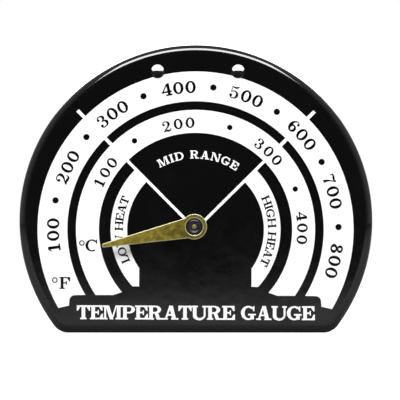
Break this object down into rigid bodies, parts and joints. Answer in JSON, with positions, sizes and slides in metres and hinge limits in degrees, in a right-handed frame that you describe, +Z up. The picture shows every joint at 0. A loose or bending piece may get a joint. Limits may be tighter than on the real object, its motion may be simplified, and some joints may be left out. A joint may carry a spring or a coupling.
{
  "type": "magnetic stove thermometer",
  "caption": "Round dial gauge with a flat foot and a brass pointer, held on a stove by a magnet behind the dial and turned by a bimetal spiral.",
  "frame": {"origin": "centre of the magnet's rear face, in the plane that lies against the stove", "axes": "+X to the right as the dial is read, +Y from the dial into the stove, +Z up the dial"},
  "size_m": [0.09, 0.0136, 0.0735],
  "materials": {
    "black_enamel": "gloss black enamel",
    "dial_print": "white printing ink on the dial",
    "pointer_brass": "satin brass, slightly aged, with bright edges",
    "brass": "turned brass",
    "plated_steel": "zinc plated",
    "blackened_steel": "blackened",
    "bimetal_strip": "rolled strip, lightly heat tinted",
    "ferrite": "ground ferrite, matt dark grey"
  },
  "bodies": {
    "case": {"case_shell": "black_enamel", "case_bush": "brass", "rear_washer": "plated_steel", "magnet_bracket": "plated_steel", "bar_magnet": "ferrite", "bracket_rivet_left": "black_enamel", "bracket_rivet_right": "black_enamel", "coil_anchor_rivet": "plated_steel", "bimetal_coil": "bimetal_strip"},
    "pointer": {"arbor": "brass", "pointer_collet": "blackened_steel", "pointer": "pointer_brass", "retaining_clip": "plated_steel", "front_washer": "plated_steel"}
  },
  "joints": [
    {"name": "pointer_turn", "type": "hinge", "parent": "case", "child": "pointer", "pos_m": [-0.0004, -0.0115, -0.025], "axis": [0, 1, 0], "range_deg": [-20, 216], "stiffness_Nm_per_rad": 0.006, "deforming": ["bimetal_coil"]}
  ]
}
